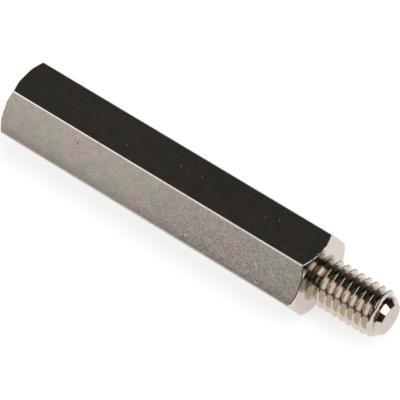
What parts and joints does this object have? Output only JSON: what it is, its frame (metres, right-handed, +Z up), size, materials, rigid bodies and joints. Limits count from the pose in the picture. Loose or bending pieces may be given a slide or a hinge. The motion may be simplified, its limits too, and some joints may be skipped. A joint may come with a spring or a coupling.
{
  "type": "hex standoff",
  "caption": "Hexagonal standoff with a threaded stud on its male end and a tapped blind hole in its female end, for spacing boards and panels.",
  "frame": {"origin": "on the surface it lies on, under the middle of the whole length", "axes": "+X along the axis towards the male stud, +Z up through the upper flat"},
  "size_m": [0.043, 0.009, 0.0079],
  "materials": {
    "nickel_plate": "nickel plating over brass, satin on the drawn flats and bright on the turned thread"
  },
  "bodies": {
    "root": {"standoff": "nickel_plate"}
  },
  "joints": []
}
